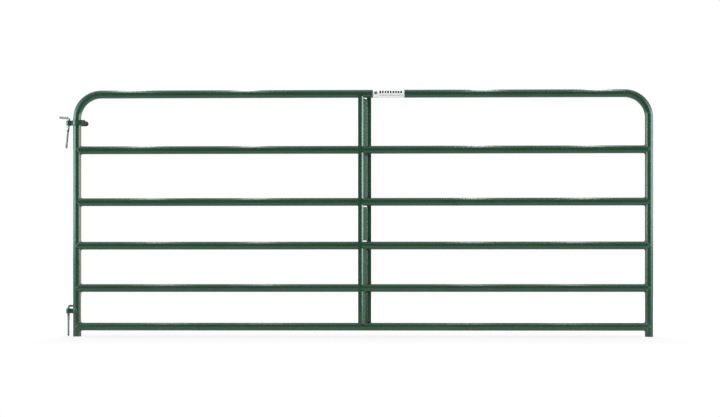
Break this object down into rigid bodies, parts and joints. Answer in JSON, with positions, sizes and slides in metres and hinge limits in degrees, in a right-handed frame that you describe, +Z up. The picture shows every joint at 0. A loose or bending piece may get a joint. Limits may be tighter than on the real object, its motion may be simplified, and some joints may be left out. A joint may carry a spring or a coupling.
{
  "type": "six-bar tubular field gate",
  "caption": "Tubular steel field gate: bent outer frame, welded rails, pressed centre brace, strap hinges and loose screw hooks, in green enamel.",
  "frame": {"origin": "centre of the hinge stile's open foot, on the ground", "axes": "+X along the gate to the latch end, +Y to the back, away from the brace's front flange, +Z up"},
  "size_m": [3.0562, 0.0748, 1.2702],
  "materials": {
    "green_enamel": "gloss",
    "enamelled_weld": "gloss",
    "zinc_plate": "satin",
    "white_vinyl": "gloss"
  },
  "bodies": {
    "gate": {"outer_frame": "green_enamel", "rail_1": "green_enamel", "rail_2": "green_enamel", "rail_3": "green_enamel", "rail_4": "green_enamel", "rail_5": "green_enamel", "centre_brace": "green_enamel", "top_hinge_clamp": "green_enamel", "top_hinge_bolt": "zinc_plate", "top_hinge_nut": "zinc_plate", "bottom_hinge_strap": "green_enamel", "hinge_stile_welds": "enamelled_weld", "latch_stile_welds": "enamelled_weld", "bottom_hinge_welds": "enamelled_weld", "label": "white_vinyl"},
    "top_hook": {"top_screw_hook": "zinc_plate"},
    "bottom_hook": {"bottom_screw_hook": "zinc_plate"}
  },
  "joints": [
    {"name": "top_hook_turn", "type": "hinge", "parent": "gate", "child": "top_hook", "pos_m": [-0.04395, 0, 1.10165], "axis": [0, 0, 1], "range_deg": [-130, 130]},
    {"name": "bottom_hook_turn", "type": "hinge", "parent": "gate", "child": "bottom_hook", "pos_m": [-0.04395, 0, 0.132], "axis": [0, 0, 1], "range_deg": [-5, 255]}
  ]
}
